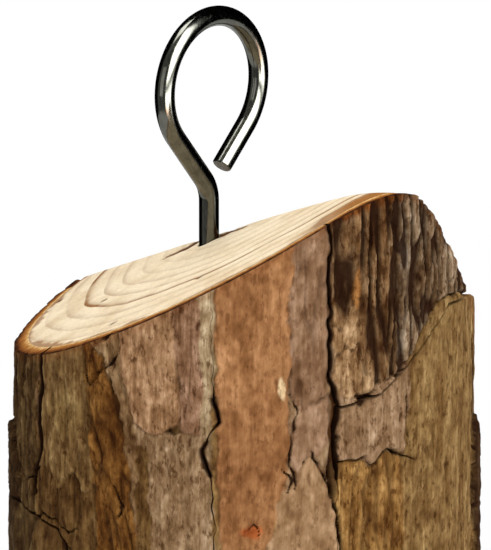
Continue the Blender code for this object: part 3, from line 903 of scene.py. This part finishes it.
def sawn_wood_material():
    """Sawn end grain: growth rings round the pith, saw marks, and dark checks and specks."""
    material, tree = new_material("sawn_wood", 0.62, specular=0.08)
    check = attribute(tree, "check")
    stain = attribute(tree, "stain")
    warp = add(tree, "TexNoise", {"Vector": place(tree), "Scale": 30.0, "Detail": 3.0})
    shift = vector_math(tree, "SUBTRACT", warp.outputs["Color"], (0.5, 0.5, 0.5))
    moved = vector_math(tree, "MULTIPLY_ADD", shift, (RING_WARP, RING_WARP, 0), place(tree, (1, 1, 0)))
    from_pith = vector_math(tree, "SUBTRACT", moved, PITH)
    radius = vector_math(tree, "LENGTH", from_pith, output="Value")
    ring = number_math(tree, "FRACT", number_math(tree, "MULTIPLY", radius, 1 / RING_WIDTH))
    late_stops = [(0.0, 0.0), (0.5, 0.05), (0.72, 0.4), (0.88, 1.0), (0.97, 0.9), (1.0, 0.0)]
    late = share_ramp(tree, ring, late_stops)
    patch = grain_noise(tree, 1, 16.0, 3, 0.6)
    visible = share_ramp(tree, patch, [(0.36, 0.3), (0.6, 1.0)])
    bold_stops = [(0.0, 0.15), (0.03, 0.3), (0.0395, 0.5), (0.0405, 1.3), (0.0435, 1.3), (0.045, 0.4),
                  (0.06, 0.3)]
    share = share_ramp(tree, radius, bold_stops)
    strength = times(tree, visible, share)
    ring_share = times(tree, late, strength)
    cloud = grain_noise(tree, 1, 9.0, 4, 0.6)
    base = ramp(tree, cloud, [(0.3, (226, 202, 164)), (0.6, (246, 228, 196))])
    colour = mix(tree, ring_share, base, linear((150, 104, 60)))
    colour = mix(tree, stain, colour, linear((158, 104, 50)))
    line_share = share_ramp(tree, stain, [(0.3, 0.0), (0.48, 0.45), (0.6, 0.45), (0.8, 0.0)])
    colour = mix(tree, line_share, colour, linear((128, 76, 34)))
    fine = grain_noise(tree, 1, 0.55, 4, 0.65)
    shade = share_ramp(tree, fine, [(0.3, 0.84), (0.65, 1.05)])
    colour = times(tree, colour, shade)
    colour = mix(tree, check, colour, linear((92, 56, 26)))
    waves = {"Vector": place(tree, (1, 1, 0.4)), "Scale": 260.0, "Distortion": 5.0, "Detail": 3.0}
    saw = add(tree, "TexWave", {**waves, "Detail Scale": 1.2}, bands_direction="X")
    height = number_math(tree, "MULTIPLY_ADD", saw.outputs["Fac"], 0.35, fine)
    return finish_material(material, colour, height, 0.22 * MM, 0.7)


def dowel_material():
    """Sanded hardwood dowel, with its grain along local Z."""
    material, tree = new_material("dowel_wood", 0.5, specular=0.35)
    grain = grain_noise(tree, 0.05, 1.1, 6, 0.65)
    colour = ramp(tree, grain, [(0.3, (150, 104, 62)), (0.5, (205, 164, 112)), (0.7, (226, 190, 140))])
    flecks = grain_noise(tree, 0.14, 0.35, 2, 0.5)
    fleck_mask = share_ramp(tree, flecks, [(0.28, 0.7), (0.36, 0.0)])
    colour = mix(tree, fleck_mask, colour, linear((120, 80, 44)))
    return finish_material(material, colour, grain, 0.12 * MM, 0.6)


def steel_material():
    """Bright plate over bent wire, with faint scuffs and duller patches."""
    material, tree = new_material("bright_plate", 0.12, metallic=1.0)
    cloud = grain_noise(tree, 1, 3.0, 4, 0.6)
    colour = ramp(tree, cloud, [(0.3, (84, 84, 76)), (0.65, (106, 106, 99))])
    scuffs = grain_noise(tree, 0.25, 0.7, 4, 0.7)
    rough = add(tree, "MapRange", {0: scuffs, 1: 0.35, 2: 0.75, 3: 0.07, 4: 0.26}).outputs[0]
    tree.links.new(rough, tree.nodes["Principled BSDF"].inputs["Roughness"])
    return finish_material(material, colour, cloud, 0.05 * MM, 0.35)


# --- Wood ---

CORE_SIDES = 480
TOP_STEP = 0.55 * MM
WALL_ROWS = 24
PORT_FLOOR = 11 * MM
PERCH_TAIL = 28 * MM
EYE_FOOT = Vector(next(joint for joint in frame["joints"] if joint["name"] == "eye_turn")["pos_m"])
PILOT_RADIUS = 2.45 * MM
PILOT_DEPTH = 30 * MM

# Drying checks and specks in the sawn top, along and across the slope in mm from the eye's foot;
# a check has a start, an end and a half width
CHECKS = [((-3.4, 4.8), (-9.3, 5.9), 1.3), ((0.9, 0.4), (7.6, -5.6), 1.2)]
SPECKS = [(-32.7, 21), (-22.5, -3.5), (-1.7, -31), (-43, -10), (-41, -17), (-37, -21), (-20, -30)]
SPECK_SIZE = 0.7


def slope_places(x, y):
    """mm along the slope, to the show side's right, and mm across it to the back, from the eye's foot."""
    angle = math.radians(SHOW_SIDE)
    dx, dy = (x - EYE_FOOT.x) / MM, (y - EYE_FOOT.y) / MM
    return dx * math.cos(angle) + dy * math.sin(angle), -dx * math.sin(angle) + dy * math.cos(angle)


def wood_marks(x, y):
    """How far each place on the sawn top lies in a check or speck, from 0 to 1."""
    along, across = slope_places(x, y)
    across = across + 0.35 * np.sin(along * 0.9) + 0.2 * np.sin(along * 2.3)
    mark = np.zeros(np.shape(x))
    for start, end, half_width in CHECKS:
        distance, t = piece_distance(along, across, start, end)
        mark = np.maximum(mark, bell(distance, half_width * (1.1 - 0.6 * t)))
    for a, b in SPECKS:
        mark = np.maximum(mark, bell(np.hypot(along - a, across - b), SPECK_SIZE))
    return mark


def stain_of(points):
    """How brown the rim of the sawn wood is: all of it at the crest, and a thin patchy ring elsewhere."""
    azimuth = azimuth_of(points)
    rim = np.hypot(points[:, 0], points[:, 1]) / core_radius(azimuth, points[:, 2])
    rough = 0.03 * layered_noise(azimuth, points[:, 2] * 0, 4, 9, 700, 4)
    crest = smooth(8, 30, azimuth) * (1 - smooth(120, 140, azimuth))
    return np.maximum(smooth(0.97, 1.0, rim + rough) * 0.55, crest * smooth(0.86, 0.93, rim + rough))


def make_core(material):
    """The sawn log: a fine sawn top, a plain wall under the bark and a flat foot."""
    turn = np.linspace(0, 360, CORE_SIDES, endpoint=False)
    rim_top = sawn_height(*around(turn, core_radius(turn, CREST_HEIGHT)))
    rim_radius = core_radius(turn, rim_top) + CORE_REACH
    rings = math.ceil(CORE_RADIUS / TOP_STEP)
    foot = np.full(CORE_SIDES, FOOT_HEIGHT)
    points = [np.stack([*around(turn, core_radius(turn, 0) + CORE_REACH), foot], axis=1)]
    for row in range(1, WALL_ROWS):
        height = FOOT_HEIGHT + (rim_top - FOOT_HEIGHT) * row / WALL_ROWS
        points.append(np.stack([*around(turn, core_radius(turn, height) + CORE_REACH), height], axis=1))
    for ring in range(rings, 0, -1):
        x, y = around(turn, rim_radius * ring / rings)
        height = sawn_height(x, y) - 0.5 * MM * wood_marks(x, y)
        points.append(np.stack([x, y, height], axis=1))
    faces = tube_faces(len(points), CORE_SIDES)
    points.append([[0, 0, FOOT_HEIGHT], [0, 0, float(sawn_height(0.0, 0.0))]])
    points = np.concatenate(points)
    foot_middle, top_middle = len(points) - 2, len(points) - 1
    inmost = foot_middle - CORE_SIDES
    steps = [(i, (i + 1) % CORE_SIDES) for i in range(CORE_SIDES)]
    faces += [(foot_middle, b, a) for a, b in steps]
    faces += [(top_middle, inmost + a, inmost + b) for a, b in steps]
    core = mesh_object("log_wood", points, faces, [material], sharp=30)
    depth = Vector((0, 0, PILOT_DEPTH))
    drill(core, EYE_FOOT - depth, EYE_FOOT + depth, PILOT_RADIUS, 48)
    for number in range(len(PORTS)):
        bore_feeder_holes(core, number, PORT_FLOOR, PERCH_TAIL)
    bored = points_of(core)
    on_top = smooth(-2.0 * MM, -1.0 * MM, bored[:, 2] - sawn_height(bored[:, 0], bored[:, 1]))
    azimuth = azimuth_of(bored)
    wall = np.hypot(bored[:, 0], bored[:, 1]) > core_radius(azimuth, bored[:, 2]) - 0.3 * MM
    marks = smooth(0.08, 0.6, wood_marks(bored[:, 0], bored[:, 1]))
    # The check attribute also makes the wood's sides dark brown, down to just above the foot; on the sawn top it
    # marks only the checks and specks
    store(core, "check", blend(wall * (bored[:, 2] > FOOT_HEIGHT + MM), marks, on_top))
    store(core, "stain", stain_of(bored) * on_top)
    return core


# --- Perches ---

PERCH_TIP = 90 * MM
PERCH_SIDES = 64
PERCH_ROWS = 90
PERCH_EDGE = 1.0 * MM


def make_perch(number, material):
    """A dowel with eased ends, hardly out of round, its length along local Z."""
    azimuth, height = PORTS[number]
    start = PERCH_TAIL + HOLE_GAP
    length = PERCH_TIP - start
    edge = np.array([0, 0.3 * MM, PERCH_EDGE])
    along = np.concatenate([edge, np.linspace(2 * MM, length - 2 * MM, PERCH_ROWS), length - edge[::-1]])
    ends = np.minimum(along, length - along)
    eased = np.clip(ends / PERCH_EDGE, 0, 1)
    radius = PERCH_RADIUS - PERCH_EDGE * 0.8 * (1 - np.sqrt(1 - (1 - eased) ** 2))
    turn = np.linspace(0, 360, PERCH_SIDES, endpoint=False)
    grid_turn, grid_along = np.meshgrid(turn, along)
    wave = 0.03 * noise(grid_turn, grid_along, 40, 14, 800 + number)
    wave = wave + 0.012 * noise(grid_turn, grid_along, 16, 6, 820)
    grid_radius = radius[:, None] - 0.05 * MM + wave * MM
    angle = np.radians(grid_turn)
    points = np.stack([grid_radius * np.cos(angle), grid_radius * np.sin(angle), grid_along], axis=-1)
    perch = rod_object(f"perch_{number + 1}_dowel", points.reshape(-1, 3), PERCH_SIDES, material, 50)
    out = outward(azimuth)
    spot = Matrix.Translation(Vector((0, 0, height - PERCH_DROP)) + out * start)
    perch.matrix_world = spot @ out.to_track_quat("Z", "Y").to_matrix().to_4x4()
    return perch


# --- Screw eye ---

WIRE_RADIUS = 2.15 * MM
LOOP_RADIUS = 15 * MM
LOOP_RISE = 33.8 * MM
LOOP_OFFSET = 1.0 * MM
LOOP_OPENS_AT = 45.0
LOOP_CLOSES_AT = 50.0
TAIL_RUN = 10.8 * MM
NECK_RADIUS = 8 * MM
THREAD_TOP = -2.5 * MM
THREAD_LENGTH = 24 * MM
THREAD_PITCH = 2.0 * MM
THREAD_DEPTH = 0.55 * MM
THREAD_POINT = 6 * MM
POINT_SHARE = 0.12
TIP_EASE = 0.25 * MM
WIRE_SIDES = 40


def arc_points(corner, incoming, outgoing, radius, steps):
    """Points along an arc that rounds the corner between two directions."""
    turn = incoming.angle(outgoing)
    start = corner - incoming * radius * math.tan(turn / 2)
    side = 1 if incoming.x * outgoing.y - incoming.y * outgoing.x > 0 else -1
    centre = start + Vector((-incoming.y, incoming.x)) * side * radius
    spoke = start - centre
    return [centre + Matrix.Rotation(side * turn * i / steps, 2) @ spoke for i in range(steps + 1)]


def wire_line():
    """The wire's centreline in the ring's plane, from the screw's point to the ring's open end."""
    centre = Vector((LOOP_OFFSET, LOOP_RISE))
    closes, opens = math.radians(LOOP_CLOSES_AT), math.radians(LOOP_OPENS_AT)
    left = centre + LOOP_RADIUS * Vector((-math.sin(closes), -math.cos(closes)))
    lean = Vector((-math.cos(closes), math.sin(closes)))
    corner = left - lean * (left.x / lean.x)
    rows = round(THREAD_LENGTH / THREAD_PITCH) * 12
    points = [Vector((0, THREAD_TOP - THREAD_LENGTH * (1 - i / rows))) for i in range(rows + 1)]
    points += [Vector((0, z * MM)) for z in (-1.5, 0, 2, 4, 6)]
    points += arc_points(corner, Vector((0, 1)), lean, NECK_RADIUS, 16)
    sweep = 2 * math.pi - closes - opens
    steps = 150
    for i in range(steps + 1):
        angle = -math.pi / 2 - closes - sweep * i / steps
        points.append(centre + LOOP_RADIUS * Vector((math.cos(angle), math.sin(angle))))
    end = points[-1]
    tail = Vector((-math.cos(opens), -math.sin(opens)))
    points += [end + tail * TAIL_RUN * i / 8 for i in range(1, 8)]
    points += [end + tail * (TAIL_RUN - TIP_EASE), end + tail * TAIL_RUN]
    return points


def wire_radius(height, turn, at_end):
    """The wire's radius: threaded below the wood, plain above it, and eased at its cut end."""
    if at_end:
        return WIRE_RADIUS - TIP_EASE
    if height >= THREAD_TOP:
        return WIRE_RADIUS
    depth = THREAD_TOP - height
    phase = (depth / THREAD_PITCH + turn) % 1
    groove = THREAD_DEPTH * min(1, depth / THREAD_PITCH)
    run_out = min(1, (THREAD_LENGTH - depth) / THREAD_POINT)
    return (WIRE_RADIUS - groove * (1 - abs(2 * phase - 1))) * max(POINT_SHARE, run_out)


def make_screw_eye(material):
    line = wire_line()
    last = len(line) - 1
    points = []
    for i, spot in enumerate(line):
        ahead = (line[min(i + 1, last)] - line[max(i - 1, 0)]).normalized()
        side = Vector((ahead.y, -ahead.x))
        for j in range(WIRE_SIDES):
            angle = 2 * math.pi * j / WIRE_SIDES
            radius = wire_radius(spot.y, j / WIRE_SIDES, i == last)
            x, z = spot + side * radius * math.cos(angle)
            points.append((EYE_FOOT.x + x, EYE_FOOT.y + radius * math.sin(angle), EYE_FOOT.z + z))
    return rod_object("screw_eye_wire", points, WIRE_SIDES, material, 38)


# --- Studio ---

STRIP_LIGHT = 13.0
# name: azimuth from the show side and elevation in degrees, distance and size in metres, watts
LAMPS = {
    "key": (24, 40, 1.1, 0.55, 6.6),
    "fill": (-40, 12, 1.2, 0.8, 2.4),
    "top": (-100, 76, 1.0, 0.5, 4.5),
}
LAMP_AIM = Vector((0, 0, 0.25))
FLOOR_RADIUS = 0.6
FLOOR_SIDES = 128
FLOOR_DROP = 0.5 * MM


def along_direction(tree, direction, axis):
    """How far a direction runs along an axis, from 0 against it to 1 with it."""
    dot = vector_math(tree, "DOT_PRODUCT", direction, axis, output="Value")
    return add(tree, "MapRange", {0: dot, 1: -1.0, 2: 1.0}).outputs[0]


def make_world():
    """White to the camera, an even dome for light, and dark and bright bands for the wire to mirror."""
    world = bpy.data.worlds.new("studio")
    world.use_nodes = True
    bpy.context.scene.world = world
    tree = world.node_tree
    background = tree.nodes["Background"]
    path = add(tree, "LightPath")
    direction = add(tree, "TexCoord").outputs["Generated"]
    right = along_direction(tree, direction, outward(SHOW_SIDE + 90))
    front = along_direction(tree, direction, outward(SHOW_SIDE))
    up = along_direction(tree, direction, Vector((0, 0, 1)))
    box = share_ramp(tree, right, [(0.55, 0.0), (0.6, 1.0)])
    ahead = share_ramp(tree, front, [(0.6, 0.0), (0.7, 1.0)])
    level = share_ramp(tree, up, [(0.42, 1.0), (0.46, 0.1), (0.5, 0.1), (0.54, 1.0)])
    strip = times(tree, times(tree, box, ahead), level)
    warm = ramp(tree, up, [(0.26, (196, 128, 66)), (0.36, (255, 255, 255))])
    dim = share_ramp(tree, front, [(0.5, 0.0), (0.62, 0.03), (0.8, 0.016)])
    mirrored = mix(tree, 1.0, times(tree, strip, warm), dim, "ADD")
    mirrored = times(tree, mirrored, (STRIP_LIGHT,) * 3)
    lit = mix(tree, path.outputs["Is Glossy Ray"], (0.5, 0.5, 0.5), mirrored)
    seen = mix(tree, path.outputs["Is Camera Ray"], lit, (1.0, 1.0, 1.0))
    tree.links.new(seen, background.inputs["Color"])


def stand(obj, aim, azimuth, elevation, distance):
    """Sets a lamp or camera at a distance from its aim, turned to face it."""
    rise = math.radians(elevation)
    away = outward(azimuth + SHOW_SIDE) * math.cos(rise) + Vector((0, 0, math.sin(rise)))
    obj.location = aim + away * distance
    obj.rotation_mode = "QUATERNION"
    obj.rotation_quaternion = away.to_track_quat("Z", "Y")


def make_light(name, azimuth, elevation, distance, size, watts):
    """A soft square lamp that faces the log."""
    data = bpy.data.lights.new(name, "AREA")
    data.shape = "SQUARE"
    data.size = size
    data.energy = watts
    stand(new_object(name, data), LAMP_AIM, azimuth, elevation, distance)


def make_floor():
    """A wide pale disc under the log."""
    material, tree = new_material("pale_floor", 0.9, specular=0.1)
    paper = grain_noise(tree, 1, 30.0, 3, 0.5)
    colour = ramp(tree, paper, [(0.3, (240, 240, 240)), (0.7, (246, 246, 246))])
    tree.links.new(colour, tree.nodes["Principled BSDF"].inputs["Base Color"])
    x, y = around(np.linspace(0, 360, FLOOR_SIDES, endpoint=False) - SHOW_SIDE, FLOOR_RADIUS)
    points = np.stack([x, y, np.full(FLOOR_SIDES, -FLOOR_DROP)], axis=1)
    mesh_object("floor", points, [list(range(FLOOR_SIDES))], [material])


def make_camera():
    data = bpy.data.cameras.new("camera")
    data.sensor_width = SENSOR
    data.lens = SENSOR * VIEW_DISTANCE / VIEW_SPAN
    data.clip_start = 0.05
    camera = new_object("camera", data)
    aim = outward(SHOW_SIDE + 90) * VIEW_AIM[0] + Vector((0, 0, VIEW_AIM[1]))
    stand(camera, aim, 0, VIEW_ELEVATION, VIEW_DISTANCE)
    bpy.context.scene.camera = camera


def settle(piece, body, node):
    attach(piece, body)
    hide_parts(node)


def main():
    scene = bpy.context.scene
    scene.view_settings.view_transform = "Standard"
    make_camera()
    make_world()
    for name, settings in LAMPS.items():
        make_light(name, *settings)
    make_floor()
    sawn_bark = sawn_bark_material()
    barks = {
        "bark": bark_material("bark_common", 0.78, 0.42, 0.55, 0.42),
        "red_bark": bark_material("bark_red", 0.62, 0.22, 0.3, 0.22),
        "rough_bark": bark_material("bark_rough", 0.86, 0.5, 0.7, 0.5),
    }
    slots = {part["node"]: part["material_slot"] for part in frame["record"]["subparts"]}
    for name in BARK_PLATES:
        plate = make_bark_plate(name, barks[slots[name]], sawn_bark)
        settle(plate, "log", name)
    settle(make_core(sawn_wood_material()), "log", "log_core")
    dowel = dowel_material()
    for number in range(len(PORTS)):
        settle(make_perch(number, dowel), "log", f"perch_{number + 1}")
    settle(make_screw_eye(steel_material()), "eye", "screw_eye")


main()
